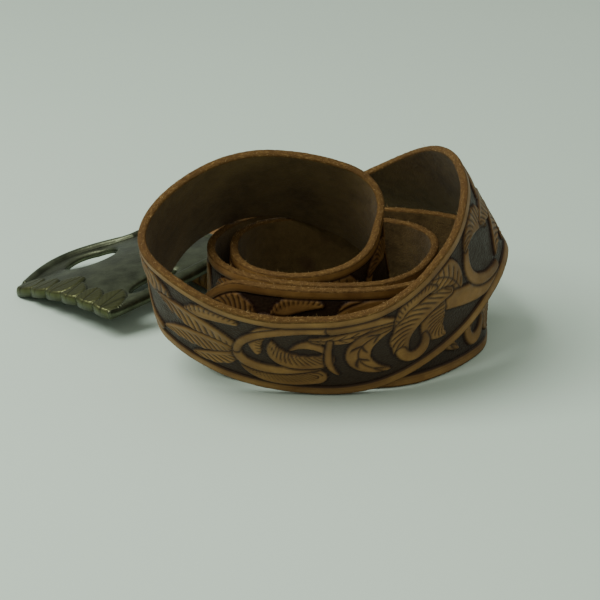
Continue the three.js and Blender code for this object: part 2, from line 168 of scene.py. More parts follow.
def catmull(points: np.ndarray, count: int) -> np.ndarray:
    """Sample a centripetal Catmull-Rom curve.

    Args:
        points: The places it passes through, one row each.
        count: How many samples to take.

    Returns:
        The samples, one row each.
    """
    ends = np.vstack([2 * points[0] - points[1], points, 2 * points[-1] - points[-2]])
    reach = np.linspace(0, len(points) - 1, count)
    at = np.minimum(reach.astype(int), len(points) - 2)
    w = (reach - at)[:, None]
    p0, p1, p2, p3 = (ends[at + k] for k in range(4))

    def gap(a: np.ndarray, b: np.ndarray) -> np.ndarray:
        """The root of the distance between rows."""
        return np.maximum(np.sum((a - b) ** 2, axis=1) ** 0.25, 1e-4)[:, None]

    d0, d1, d2 = gap(p0, p1), gap(p1, p2), gap(p2, p3)
    t1 = ((p1 - p0) / d0 - (p2 - p0) / (d0 + d1) + (p2 - p1) / d1) * d1
    t2 = ((p2 - p1) / d1 - (p3 - p1) / (d1 + d2) + (p3 - p2) / d2) * d1
    return (p1 + t1 * w + (-3 * p1 + 3 * p2 - 2 * t1 - t2) * w**2
            + (2 * p1 - 2 * p2 + t1 + t2) * w**3)


def unit(rows: np.ndarray) -> np.ndarray:
    """Rows scaled to length one."""
    return rows / np.linalg.norm(rows, axis=-1, keepdims=True)


def smoothed(rows: np.ndarray, half: int) -> np.ndarray:
    """Rows averaged with their neighbours, the ends kept straight.

    Args:
        rows: The values, one row each.
        half: How many neighbours on each side count.

    Returns:
        The averaged rows.
    """
    weights = np.hanning(2 * half + 3)[1:-1]
    weights /= weights.sum()
    wide = np.pad(rows, ((half, half), (0, 0)), mode="reflect", reflect_type="odd")
    return np.stack([np.convolve(wide[:, k], weights, "valid") for k in range(rows.shape[1])], 1)


def mesh_from(bm: bmesh.types.BMesh, name: str) -> bpy.types.Mesh:
    """Turn an edit mesh into a mesh.

    Args:
        bm: The edit mesh, which is freed.
        name: The mesh's name.

    Returns:
        The mesh.
    """
    mesh = bpy.data.meshes.new(name)
    bm.to_mesh(mesh)
    bm.free()
    return mesh


def placed(name: str, data: bpy.types.ID) -> bpy.types.Object:
    """Add an object to the scene.

    Args:
        name: Its name.
        data: Its mesh, lamp or camera.

    Returns:
        The object.
    """
    thing = bpy.data.objects.new(name, data)
    bpy.context.scene.collection.objects.link(thing)
    return thing


@dataclass
class StrapPath:
    """Where the strap's middle runs, and which way its width and its tooled face point."""

    step: float = SAMPLE_ALONG
    samples: int = 20001
    blend: float = 5.0
    reach: np.ndarray = field(init=False)
    at: np.ndarray = field(init=False)
    across: np.ndarray = field(init=False)
    face: np.ndarray = field(init=False)
    length: float = field(init=False)

    def __post_init__(self) -> None:
        """Work out the path and the fold round the bar."""
        lean = np.radians(PATH[:, 3])
        lift = STRAP_WIDTH * (PATH[:, 2] + np.cos(lean) / 2)
        lift += STRAP_THICK / 2 * np.abs(np.sin(lean))
        middles = np.stack([PATH[:, 0] * COIL_WIDTH, PATH[:, 1] * COIL_DEPTH, lift], 1)
        curve = catmull(middles - PART_CENTRE, self.samples)
        rows = np.arange(len(PATH)) * 3.0
        leans = catmull(np.stack([PATH[:, 3], rows, 0 * rows], 1), self.samples)[:, 0]
        run = np.concatenate([[0], np.cumsum(np.linalg.norm(np.diff(curve, axis=0), axis=1))])
        self.length = float(run[-1])
        reach = np.arange(0, self.length, self.step)
        at = np.stack([np.interp(reach, run, curve[:, k]) for k in range(3)], 1)
        lean = np.radians(np.interp(reach, run, leans))
        near = round(FRAME_REACH / self.step)
        wide = np.pad(at, ((near, near), (0, 0)), mode="reflect", reflect_type="odd")
        along = unit(wide[2 * near:] - wide[: -2 * near])
        outward = unit(np.stack([along[:, 1], -along[:, 0], 0 * lean], 1))
        upright = unit(np.cross(outward, along))
        across = upright * np.cos(lean)[:, None] + outward * np.sin(lean)[:, None]
        across = unit(smoothed(across, round(self.blend / self.step)))
        face = unit(np.cross(along, across))
        self.reach, self.at, self.across, self.face = reach, at, across, face
        self.fold()

    def fold(self) -> None:
        """Carry the strap round the buckle's bar and back underneath."""
        radius = BAR_THICK / 2 + BAR_CLEARANCE + STRAP_THICK / 2
        end, across, face = self.at[-1], self.across[-1], self.face[-1]
        along = np.cross(across, face)
        bend = math.pi * radius
        more = np.arange(self.step, bend + FOLD_RETURN, self.step)
        angle = np.minimum(more, bend) / radius
        back = np.maximum(0, more - bend)
        out = face * np.cos(angle)[:, None] + along * np.sin(angle)[:, None]
        at = end - face * radius + out * radius - along * back[:, None]
        self.reach = np.concatenate([self.reach, self.reach[-1] + more])
        self.at = np.vstack([self.at, at])
        self.across = np.vstack([self.across, np.tile(across, (len(more), 1))])
        self.face = np.vstack([self.face, out])

    def half_width(self) -> np.ndarray:
        """Half the strap's width all along it, in millimetres."""
        share = np.minimum(1, self.reach / TIP_LENGTH)
        wide = STRAP_WIDTH - TIP_NOSE_WIDTH
        return (TIP_NOSE_WIDTH + wide * np.sin(share * math.pi / 2)) / 2


def noise(u: np.ndarray, v: np.ndarray, seed: int) -> np.ndarray:
    """A smooth random value between -1 and 1 at each place.

    Args:
        u: First coordinate, one unit to a cell.
        v: Second coordinate, one unit to a cell.
        seed: Which of the random fields to read.

    Returns:
        The values, in the shape of u.
    """
    cells = np.random.default_rng(seed).uniform(-1, 1, (NOISE_CELLS, NOISE_CELLS))
    iu, iv = np.floor(u).astype(int), np.floor(v).astype(int)
    fu, fv = u - iu, v - iv
    fu, fv = fu * fu * (3 - 2 * fu), fv * fv * (3 - 2 * fv)
    iu, iv, ju, jv = (k % NOISE_CELLS for k in (iu, iv, iu + 1, iv + 1))
    a, b, c, d = cells[iu, iv], cells[ju, iv], cells[iu, jv], cells[ju, jv]
    return (a * (1 - fu) + b * fu) * (1 - fv) + (c * (1 - fu) + d * fu) * fv


@dataclass
class Carving:
    """The tooled face as a relief: height, dyed ground, and dark cuts with painted shadow and shade
    at each sample.
    """

    path: StrapPath
    lanes: int = 92
    across: np.ndarray = field(init=False)
    height: np.ndarray = field(init=False)
    ground: np.ndarray = field(init=False)
    dark: np.ndarray = field(init=False)

    def __post_init__(self) -> None:
        """Carve every run of leaves and the borders."""
        edge = STRAP_WIDTH / 2 - 0.9
        self.across = np.linspace(-edge, edge, self.lanes)
        shape = (len(self.path.reach), self.lanes)
        self.height = np.full(shape, -GROUND_DEPTH)
        self.ground = np.ones(shape)
        self.dark = np.zeros(shape)
        first = -math.ceil(CARVING_START / CARVING_LENGTH)
        last = math.ceil((self.path.reach[-1] - CARVING_START) / CARVING_LENGTH)
        for run in range(first, last + 1):
            for leaf in LEAVES:
                self.carve(leaf, CARVING_START + run * CARVING_LENGTH)
        self.border()

    def carve(self, leaf: Leaf, start: float) -> None:
        """Carve one leaf.

        Args:
            leaf: Its curve, widths and cuts.
            start: Where its run of carving starts on the strap.
        """
        t = np.linspace(0, 1, 25)[:, None]
        p0, p1, p2, p3 = (np.array(p, float) for p in leaf.points)
        line = ((1 - t) ** 3 * p0 + 3 * (1 - t) ** 2 * t * p1 + 3 * (1 - t) * t**2 * p2 + t**3 * p3)
        line = line + np.array([start, 0])
        margin = max(leaf.widths) + 2
        low = np.searchsorted(self.path.reach, line[:, 0].min() - margin)
        high = np.searchsorted(self.path.reach, line[:, 0].max() + margin)
        if high - low < 2:
            return
        s = self.path.reach[low:high][:, None]
        a = self.across[None, :]
        best = np.full((high - low, self.lanes), 1e9)
        along = np.zeros_like(best)
        side = np.zeros_like(best)
        for i in range(len(line) - 1):
            p, q = line[i], line[i + 1]
            d = q - p
            size = max(float(d @ d), 1e-9)
            w = np.clip(((s - p[0]) * d[0] + (a - p[1]) * d[1]) / size, 0, 1)
            dx, dy = s - p[0] - w * d[0], a - p[1] - w * d[1]
            gap = np.hypot(dx, dy)
            nearer = gap < best
            best = np.where(nearer, gap, best)
            along = np.where(nearer, (i + w) / (len(line) - 1), along)
            side = np.where(nearer, np.sign(d[0] * dy - d[1] * dx) * gap, side)
        first, middle, last = leaf.widths
        swell = np.sin(math.pi * along) ** 0.8
        width = (first * (1 - along) + last * along) * (1 - swell) + middle * swell
        if leaf.cut in (Cut.FLUTES, Cut.RIBS):
            scallop = np.abs(np.sin(math.pi * leaf.cuts * along * 0.5))
            width = width * np.where(side > 0, 0.86 + 0.14 * scallop, 1)
        d = best - width
        v = side / np.maximum(width, 0.2)
        inside = d < 0
        beside = (d >= 0) & (d < BEVEL_WIDTH)
        h, g, k = (grid[low:high] for grid in (self.height, self.ground, self.dark))
        # Painted shadow: the dark mask rises in a band beside the leaf's edge, as the leaf's shadow
        # on the lower leather next to it.
        fall = np.clip(1 - d / BEVEL_WIDTH, 0, 1)
        k[beside] = np.maximum(k[beside], np.minimum(1, 1.15 * fall[beside] ** 1.2))
        h[beside] -= (BEVEL_DEPTH * fall[beside] ** 2) * (1 - g[beside])
        crown = np.clip(-d / BEVEL_WIDTH, 0, 1)
        crown = crown * (2 - crown)
        rise = (LEAF_RISE + LEAF_EDGE_DROP) * crown - LEAF_EDGE_DROP
        rise -= LEAF_HOLLOW * (1 - v**2) * np.clip(along * 3, 0, 1) * (width > 1.2)
        cuts = np.zeros_like(d)
        if leaf.cut is Cut.FLUTES:
            wave = leaf.cuts * (along + 0.13 * v) % 1
            line_at = np.exp(-(((wave - 0.5) * 4.6) ** 2))
            cuts = line_at * np.clip(2.4 - np.abs(v - 0.25) * 2.6, 0, 1)
        elif leaf.cut is Cut.RIBS:
            wave = leaf.cuts * (along - 0.04 * v) % 1
            cuts = np.exp(-(((wave - 0.5) * 5.0) ** 2)) * np.clip(3 * (v + 0.15), 0, 1)
        elif leaf.cut is Cut.VEIN:
            middle_cut = np.exp(-((side / 0.36) ** 2)) * np.clip(6 * (1 - along), 0, 1)
            wave = leaf.cuts * (along - 0.16 * np.abs(v)) % 1
            twigs = np.exp(-(((wave - 0.5) * 7) ** 2)) * np.clip(4 - 5 * np.abs(v), 0, 1)
            cuts = np.maximum(middle_cut, twigs)
        cuts *= np.clip(-d / 0.4, 0, 1)
        rise -= CUT_DEPTH * cuts
        rim_line = np.exp(-((d / 0.50) ** 2))
        h[inside] = rise[inside]
        g[inside] = 0
        # Painted shade: each leaf is darker towards its base and along one side, added to the dark
        # mask with its cuts and outline.
        shade = 0.34 * (1 - np.clip(along * 2.2, 0, 1)) + 0.22 * (v < -0.3) * np.clip(-v, 0, 1)
        k[inside] = np.maximum(np.maximum(0.95 * cuts, 0.8 * rim_line), shade)[inside]

    def border(self) -> None:
        """Cut the border lines, paint shade in a band just inside them and leave the smooth margins
        outside them.
        """
        half = self.path.half_width()[:, None]
        share = half / (STRAP_WIDTH / 2)
        inset = half - np.abs(self.across[None, :]) * share
        margin = inset < BORDER_INSET
        margin |= self.path.reach[:, None] > self.path.length - BARE_END
        self.height = np.where(margin, 0.0, self.height)
        self.ground = np.where(margin, 0.0, self.ground)
        self.dark = np.where(margin, 0.0, self.dark)
        line = np.exp(-(((inset - BORDER_INSET) / 0.48) ** 2))
        # Painted shade: the dark mask rises in a band just inside the border line, falling off away
        # from it.
        border_shade = np.clip(1 - (inset - BORDER_INSET) / 1.3, 0, 1) * (inset > BORDER_INSET)
        self.dark = np.maximum(self.dark, np.maximum(line, 0.7 * border_shade**1.5))
        self.height -= 0.35 * line
        fine = np.exp(-(((inset - BORDER_INSET + 1.1) / 0.2) ** 2))
        self.dark = np.maximum(self.dark, 0.35 * fine)
        self.height -= 0.08 * fine


class Nodes:
    """A material's node tree, with short calls for the nodes used here."""

    def __init__(self, name: str) -> None:
        """Start a material.

        Args:
            name: The material's name.
        """
        self.material = bpy.data.materials.new(name)
        self.material.use_nodes = True
        self.tree = self.material.node_tree
        self.shader = self.tree.nodes["Principled BSDF"]

    def add(self, kind: str, **values: object) -> bpy.types.Node:
        """Add a node and set its properties."""
        node = self.tree.nodes.new(kind)
        for key, value in values.items():
            setattr(node, key, value)
        return node

    def link(self, source: Socket, target: Socket) -> None:
        """Join two sockets."""
        self.tree.links.new(source, target)

    def feed(self, value: object, socket: Socket) -> None:
        """Give a socket another one's value, a colour or a number."""
        if isinstance(value, Socket):
            self.link(value, socket)
        elif isinstance(value, tuple):
            socket.default_value = (*value, 1)
        else:
            socket.default_value = value

    def scaled(self, source: Socket, scale: Triple) -> Socket:
        """Coordinates times a scale."""
        mapping = self.add("ShaderNodeMapping")
        mapping.inputs["Scale"].default_value = scale
        self.link(source, mapping.inputs["Vector"])
        return mapping.outputs["Vector"]

    def place(self, scale: Triple = (1, 1, 1)) -> Socket:
        """Object coordinates, scaled."""
        place = self.add("ShaderNodeTexCoord")
        return self.scaled(place.outputs["Object"], scale)

    def surface(self, scale: Triple = (1, 1, 1)) -> Socket:
        """The strap's own UV map, scaled."""
        place = self.add("ShaderNodeUVMap", uv_map="strap")
        return self.scaled(place.outputs["UV"], scale)

    def noise(self, at: Socket, scale: float, detail: float = 4.0,
              rough: float = 0.6) -> Socket:
        """A noise value."""
        node = self.add("ShaderNodeTexNoise")
        node.inputs["Scale"].default_value = scale
        node.inputs["Detail"].default_value = detail
        node.inputs["Roughness"].default_value = rough
        self.link(at, node.inputs["Vector"])
        return node.outputs["Fac"]

    def cells(self, at: Socket, scale: float) -> Socket:
        """Distance to the nearest of scattered points."""
        node = self.add("ShaderNodeTexVoronoi")
        node.inputs["Scale"].default_value = scale
        self.link(at, node.inputs["Vector"])
        return node.outputs["Distance"]

    def mask(self, name: str) -> Socket:
        """A value stored on the mesh."""
        return self.add("ShaderNodeAttribute", attribute_name=name).outputs["Fac"]

    def ramp(self, value: Socket,
             stops: list[tuple[float, Triple]]) -> Socket:
        """Colours along a value."""
        node = self.add("ShaderNodeValToRGB")
        ramp = node.color_ramp
        while len(ramp.elements) < len(stops):
            ramp.elements.new(0.5)
        for element, (place, colour) in zip(ramp.elements, stops):
            element.position = place
            element.color = (*colour, 1)
        self.link(value, node.inputs["Fac"])
        return node.outputs["Color"]

    def mix(self, share: object, first: object, second: object) -> Socket:
        """Blend two colours."""
        node = self.add("ShaderNodeMix", data_type="RGBA")
        for place, value in ((0, share), (6, first), (7, second)):
            self.feed(value, node.inputs[place])
        return node.outputs[2]

    def maths(self, way: str, first: object, second: object = 0.0) -> Socket:
        """One sum of two values."""
        node = self.add("ShaderNodeMath", operation=way, use_clamp=False)
        for socket, value in zip(node.inputs, (first, second)):
            self.feed(value, socket)
        return node.outputs[0]

    def spread(self, value: Socket, low: float, high: float,
               to_low: float = 0.0, to_high: float = 1.0) -> Socket:
        """Map a value from one range to another."""
        node = self.add("ShaderNodeMapRange")
        for name, number in zip(("From Min", "From Max", "To Min", "To Max"),
                                (low, high, to_low, to_high)):
            node.inputs[name].default_value = number
        self.link(value, node.inputs["Value"])
        return node.outputs["Result"]

    def bump(self, height: Socket, depth: float, strength: float = 1.0) -> None:
        """Raise the surface by a value, depth in metres."""
        node = self.add("ShaderNodeBump")
        node.inputs["Strength"].default_value = strength
        node.inputs["Distance"].default_value = depth
        self.link(height, node.inputs["Height"])
        self.link(node.outputs["Normal"], self.shader.inputs["Normal"])

    def paint(self, colour: Socket, rough: object) -> None:
        """Set the colour and the roughness."""
        self.link(colour, self.shader.inputs["Base Color"])
        self.feed(rough, self.shader.inputs["Roughness"])


@dataclass(frozen=True)
class ToolingFinish:
    """Carved saddle leather: tan leaves, dark dyed ground, red-brown cuts and painted shade in the
    same red-brown.
    """

    leaf: Triple = (0.140, 0.064, 0.017)
    leaf_light: Triple = (0.305, 0.168, 0.049)
    ground: Triple = (0.021, 0.011, 0.0055)
    # The cuts' colour, also used for the painted shadow beside leaves and border and the painted
    # shade at the leaves' bases.
    cut: Triple = (0.012, 0.0025, 0.0012)
    grime: Triple = (0.095, 0.036, 0.014)
    ground_light: Triple = (0.036, 0.020, 0.011)

    def make(self) -> bpy.types.Material:
        """Build the material."""
        n = Nodes("tooled_leather_face")
        uv = n.surface()
        mottle = n.noise(uv, 95, 5)
        tone = n.ramp(mottle, [(0.30, self.leaf), (0.72, self.leaf_light)])
        streak = n.noise(n.surface((1, 5, 1)), 420, 3)
        tone = n.mix(0.22, tone, n.ramp(streak, [(0.3, self.leaf), (0.8, self.leaf_light)]))
        grime = n.spread(n.noise(uv, 30, 3), 0.42, 0.75, 0.0, 0.5)
        tone = n.mix(grime, tone, self.grime)
        dyed = n.mix(n.noise(uv, 900, 2), self.ground, self.ground_light)
        colour = n.mix(n.mask("ground"), tone, dyed)
        # Dark mask: real cuts and outlines, plus painted shadow and shade, all in the cut colour.
        colour = n.mix(n.mask("dark"), colour, self.cut)
        rough = n.spread(n.noise(uv, 160, 4), 0.3, 0.7, 0.38, 0.60)
        n.paint(colour, rough)
        n.shader.inputs["Specular IOR Level"].default_value = 0.2
        pores = n.cells(uv, 2100)
        matting = n.maths("MULTIPLY", n.cells(uv, 1150), n.mask("ground"))
        height = n.maths("ADD", n.maths("MULTIPLY", pores, 0.12), matting)
        height = n.maths("ADD", height, n.maths("MULTIPLY", n.noise(uv, 700, 4), 0.35))
        n.bump(height, 0.00022, 0.8)
        return n.material


@dataclass(frozen=True)
class EdgeFinish:
    """The strap's rubbed raw edge: golden brown, fibrous."""

    base: Triple = (0.060, 0.026, 0.006)
    middle: Triple = (0.125, 0.064, 0.014)
    light: Triple = (0.34, 0.21, 0.07)
    patch: Triple = (0.075, 0.034, 0.008)

    def make(self) -> bpy.types.Material:
        """Build the material."""
        n = Nodes("tooled_leather_edge")
        uv = n.surface((1, 2.5, 1))
        fibre = n.noise(uv, 520, 6, 0.75)
        colour = n.ramp(fibre, [(0.30, self.base), (0.54, self.middle), (0.72, self.light)])
        patch = n.spread(n.noise(n.surface(), 60, 3), 0.4, 0.7, 0.0, 0.65)
        colour = n.mix(patch, colour, self.patch)
        n.paint(colour, 0.72)
        n.shader.inputs["Specular IOR Level"].default_value = 0.2
        n.bump(n.maths("ADD", fibre, n.noise(n.surface(), 1500, 3)), 0.0005, 0.9)
        return n.material


@dataclass(frozen=True)
class FleshFinish:
    """The strap's back: rough, mottled dark olive-brown."""

    base: Triple = (0.042, 0.023, 0.007)
    light: Triple = (0.130, 0.083, 0.028)
    nap: Triple = (0.15, 0.094, 0.034)
    spot: Triple = (0.035, 0.012, 0.008)

    def make(self) -> bpy.types.Material:
        """Build the material."""
        n = Nodes("tooled_leather_back")
        uv = n.surface()
        nap = n.noise(uv, 330, 7, 0.72)
        cloud = n.noise(uv, 38, 4)
        colour = n.ramp(cloud, [(0.32, self.base), (0.70, self.light)])
        colour = n.mix(n.spread(nap, 0.38, 0.75, 0, 0.6), colour, self.nap)
        spots = n.spread(n.noise(uv, 24, 2), 0.66, 0.72)
        colour = n.mix(spots, colour, self.spot)
        n.paint(colour, 0.86)
        n.shader.inputs["Specular IOR Level"].default_value = 0.12
        n.shader.inputs["Sheen Weight"].default_value = 0.06
        n.shader.inputs["Sheen Roughness"].default_value = 0.5
        n.bump(n.maths("ADD", nap, n.noise(uv, 1600, 3)), 0.0005, 0.9)
        return n.material


@dataclass(frozen=True)
class PewterFinish:
    """Dark antique pewter, brighter where the relief is rubbed."""

    name: str = "antique_pewter"
    dark: Triple = (0.050, 0.055, 0.034)
    bright: Triple = (0.155, 0.170, 0.108)
    brass: Triple = (0.105, 0.108, 0.045)
    groove: Triple = (0.012, 0.012, 0.008)
    relief: bool = False

    def make(self) -> bpy.types.Material:
        """Build the material."""
        n = Nodes(self.name)
        at = n.place()
        cloud = n.noise(at, 130, 5)
        colour = n.ramp(cloud, [(0.30, self.dark), (0.75, self.bright)])
        scratch = n.noise(n.place((1, 9, 3)), 420, 3, 0.7)
        if self.relief:
            worn = n.mask("worn")
            colour = n.mix(worn, colour, self.brass)
            colour = n.mix(n.mask("dark"), colour, self.groove)
        n.paint(colour, n.spread(scratch, 0.3, 0.75, 0.30, 0.52))
        n.shader.inputs["Metallic"].default_value = 1.0
        height = n.maths("ADD", n.maths("MULTIPLY", scratch, 0.35), n.noise(at, 900, 4))
        n.bump(height, 0.00012, 0.5)
        return n.material


@dataclass
class StrapMaker:
    """Lofts the strap in short lengths, each a closed solid of its own."""

    carving: Carving
    pieces: int = 4
    edge_steps: int = 9
    back_lanes: int = 40

    def columns(self) -> tuple[np.ndarray, np.ndarray, np.ndarray]:
        """The section's places across and out of the strap, and what each is part of.

        Returns:
            Places across, places out of the face, and the part each belongs to.
        """
        edge = self.carving.across[-1]
        deep = STRAP_THICK / 2
        angle = np.linspace(90, -90, self.edge_steps + 2)[1:-1] * math.pi / 180
        bulge = (STRAP_WIDTH / 2 - edge) * np.cos(angle) ** 0.75
        back = np.linspace(edge, -edge, self.back_lanes)
        across = np.concatenate([self.carving.across, edge + bulge, back, -edge - bulge])
        out = np.concatenate([np.full(self.carving.lanes, deep), deep * np.sin(angle),
                              np.full(self.back_lanes, -deep), -deep * np.sin(angle)])
        kind = np.repeat([FACE, EDGE, BACK, EDGE],
                         [self.carving.lanes, self.edge_steps, self.back_lanes, self.edge_steps])
        return across, out, kind

    def build(self, finishes: list[bpy.types.Material]) -> list[bpy.types.Object]:
        """Make every length of the strap.

        Args:
            finishes: The face's, the edge's and the back's material.

        Returns:
            The lengths in order from the tip.
        """
        path = self.carving.path
        across, out, kind = self.columns()
        share = (path.half_width() / (STRAP_WIDTH / 2))[:, None]
        reach = path.reach[:, None] + 0 * across[None, :]
        wide = across[None, :] * share
        high = out[None, :] + 0 * reach
        lanes = self.carving.lanes
        high[:, :lanes] += self.carving.height
        rough = noise(reach / 1.1, out[None, :] / 0.8 + 40, 5)
        rough += 0.6 * noise(reach / 0.5, out[None, :] / 0.4, 6)
        wide = wide + np.where(kind == EDGE, np.sign(across) * 0.09, 0) * rough
        nap = noise(reach / 1.6, across[None, :] / 1.6, 7) + 0.5 * noise(reach / 0.7, wide / 0.7, 8)
        high -= np.where(kind == BACK, 0.07, 0) * nap
        spot = (path.at[:, None, :] + path.across[:, None, :] * wide[..., None]
                + path.face[:, None, :] * high[..., None])
        ground = np.zeros_like(reach)
        dark = np.zeros_like(reach)
        ground[:, :lanes] = self.carving.ground
        dark[:, :lanes] = self.carving.dark
        girth = np.concatenate([[0], np.cumsum(np.hypot(np.diff(across), np.diff(out)))])
        cuts = np.linspace(0, len(path.reach) - 1, self.pieces + 1).round().astype(int)
        made = []
        for index, (low, high_row) in enumerate(zip(cuts[:-1], cuts[1:])):
            rows = slice(low, high_row + 1)
            piece = self.length(f"strap_run_{index + 1}", spot[rows] * MM, path.reach[rows] * MM,
                                girth * MM, kind, {"ground": ground[rows], "dark": dark[rows]})
            for finish in finishes:
                piece.data.materials.append(finish)
            made.append(piece)
        return made

    def length(self, name: str, spots: np.ndarray, reach: np.ndarray, girth: np.ndarray,
               kind: np.ndarray, masks: dict[str, np.ndarray]) -> bpy.types.Object:
        """Wrap a grid round one length of the strap and close its ends.

        Args:
            name: The piece's name.
            spots: Places in metres, by row along the strap and column round its section.
            reach: Each row's distance from the tip.
            girth: Each column's distance round the section.
            kind: Each column's part of the section.
            masks: Values stored on the mesh, by name.

        Returns:
            The finished object.
        """
        rows, columns = spots.shape[:2]
        bm = bmesh.new()
        bmesh.ops.create_grid(bm, x_segments=rows - 1, y_segments=columns, size=1)
        mesh = mesh_from(bm, name)
        flat = np.empty(len(mesh.vertices) * 3)
        mesh.vertices.foreach_get("co", flat)
        flat = flat.reshape(-1, 3)
        i = np.rint((flat[:, 0] + 1) / 2 * (rows - 1)).astype(int)
        j = np.rint((flat[:, 1] + 1) / 2 * columns).astype(int)
        mesh.vertices.foreach_set("co", spots[i, j % columns].ravel())
        for key, values in masks.items():
            store = mesh.attributes.new(key, "FLOAT", "POINT")
            store.data.foreach_set("value", values[i, j % columns].ravel())
        corner = np.empty(len(mesh.loops), int)
        mesh.loops.foreach_get("vertex_index", corner)
        round_it = np.append(girth, girth[-1] + (girth[-1] - girth[-2]))
        uv = np.stack([reach[i], round_it[j]], 1)[corner]
        mesh.uv_layers.new(name="strap").data.foreach_set("uv", uv.ravel())
        first = np.empty(len(mesh.polygons), int)
        mesh.polygons.foreach_get("loop_start", first)
        faces = corner.reshape(-1, 4)
        column = j[faces].min(axis=1)
        own, following = kind[column % columns], kind[(column + 1) % columns]
        slot = np.where(following == EDGE, EDGE, own)
        mesh.polygons.foreach_set("material_index", slot)
        self.close(mesh)
        return placed(name, mesh)

    @staticmethod
    def close(mesh: bpy.types.Mesh) -> None:
        """Join the seam of a wrapped grid and close its two ends."""
        bm = bmesh.new()
        bm.from_mesh(mesh)
        seam = list({v for e in bm.edges if e.is_boundary for v in e.verts})
        bmesh.ops.remove_doubles(bm, verts=seam, dist=1e-7)
        for face in bm.faces:
            face.smooth = True
        ends = [e for e in bm.edges if e.is_boundary]
        made = bmesh.ops.holes_fill(bm, edges=ends, sides=0)["faces"]
        for face in made:
            face.smooth = False
            face.material_index = EDGE
        for edge in ends:
            edge.smooth = False
        bm.to_mesh(mesh)
        bm.free()


@dataclass
class EdgeFibres:
    """Short loose fibres that stand off the strap's upper edge."""

    path: StrapPath
    count: int = 1500
    start: float = 20.0
    end_gap: float = 40.0

    def build(self, finish: bpy.types.Material) -> bpy.types.Object:
        """Make the fibres as thin pointed slivers.

        Args:
            finish: Their material.

        Returns:
            The finished object.
        """
        draw = np.random.default_rng(11)
        bm = bmesh.new()
        spots = draw.uniform(self.start, self.path.length - self.end_gap, self.count)
        for row in np.searchsorted(self.path.reach, spots):
            at, across, face = (Vector(grid[row]) for grid in
                                (self.path.at, self.path.across, self.path.face))
            out = draw.uniform(-1.35, 1.15)
            lift = math.sqrt(max(0.0, 1 - (out / 1.4) ** 2)) * 0.8
            along = across.cross(face)
            spot = at + across * (STRAP_WIDTH / 2 - 0.95 + lift) + face * out
            way = across + face * draw.uniform(-0.9, 0.5) + along * draw.uniform(-1.2, 1.2)
            long = draw.uniform(0.4, 1.1) if draw.uniform() < 0.9 else draw.uniform(1.0, 1.9)
            thin = draw.uniform(0.05, 0.10)
            turn = way.to_track_quat("Z", "Y").to_matrix().to_4x4()
            middle = spot + way.normalized() * (long / 2 - 0.15)
            bmesh.ops.create_cone(bm, cap_ends=True, cap_tris=False, segments=3, radius1=thin * MM,
                                  radius2=0.012 * MM, depth=long * MM,
                                  matrix=Matrix.Translation(middle * MM) @ turn)
        mesh = mesh_from(bm, "edge_fibres")
        mesh.materials.append(finish)
        return placed("edge_fibres", mesh)


@dataclass(frozen=True)
class FibreFinish:
    """Pale loose leather fibre."""

    base: Triple = (0.26, 0.145, 0.050)
    light: Triple = (0.55, 0.38, 0.17)

    def make(self) -> bpy.types.Material:
        """Build the material."""
        n = Nodes("loose_fibre")
        n.paint(n.ramp(n.noise(n.place(), 300, 3), [(0.35, self.base), (0.7, self.light)]), 0.8)
        return n.material


@dataclass
class HolePunch:
    """Punches the row of holes near the strap's tip."""

    path: StrapPath

    def cutter(self) -> bpy.types.Object:
        """All the punches as one mesh."""
        bm = bmesh.new()
        for k in range(HOLE_COUNT):
            row = int(np.searchsorted(self.path.reach, FIRST_HOLE + k * HOLE_PITCH))
            out = Vector(self.path.face[row])
            turn = out.to_track_quat("Z", "Y").to_matrix().to_4x4()
            spot = Matrix.Translation(Vector(self.path.at[row]) * MM) @ turn
            bmesh.ops.create_cone(bm, cap_ends=True, cap_tris=False, segments=28,
                                  radius1=HOLE_DIAMETER / 2 * MM, radius2=HOLE_DIAMETER / 2 * MM,
                                  depth=4 * STRAP_THICK * MM, matrix=spot)
        return placed("punch", mesh_from(bm, "punch"))

    def punch(self, piece: bpy.types.Object) -> None:
        """Cut the holes through one length of the strap."""
        tool = self.cutter()
        cut = piece.modifiers.new("holes", "BOOLEAN")
        cut.object = tool
        cut.operation = "DIFFERENCE"
        cut.solver = "EXACT"
        shape = piece.evaluated_get(bpy.context.evaluated_depsgraph_get())
        mesh = bpy.data.meshes.new_from_object(shape)
        piece.modifiers.clear()
        mesh.name = piece.data.name
        piece.data = mesh
        bpy.data.objects.remove(tool)


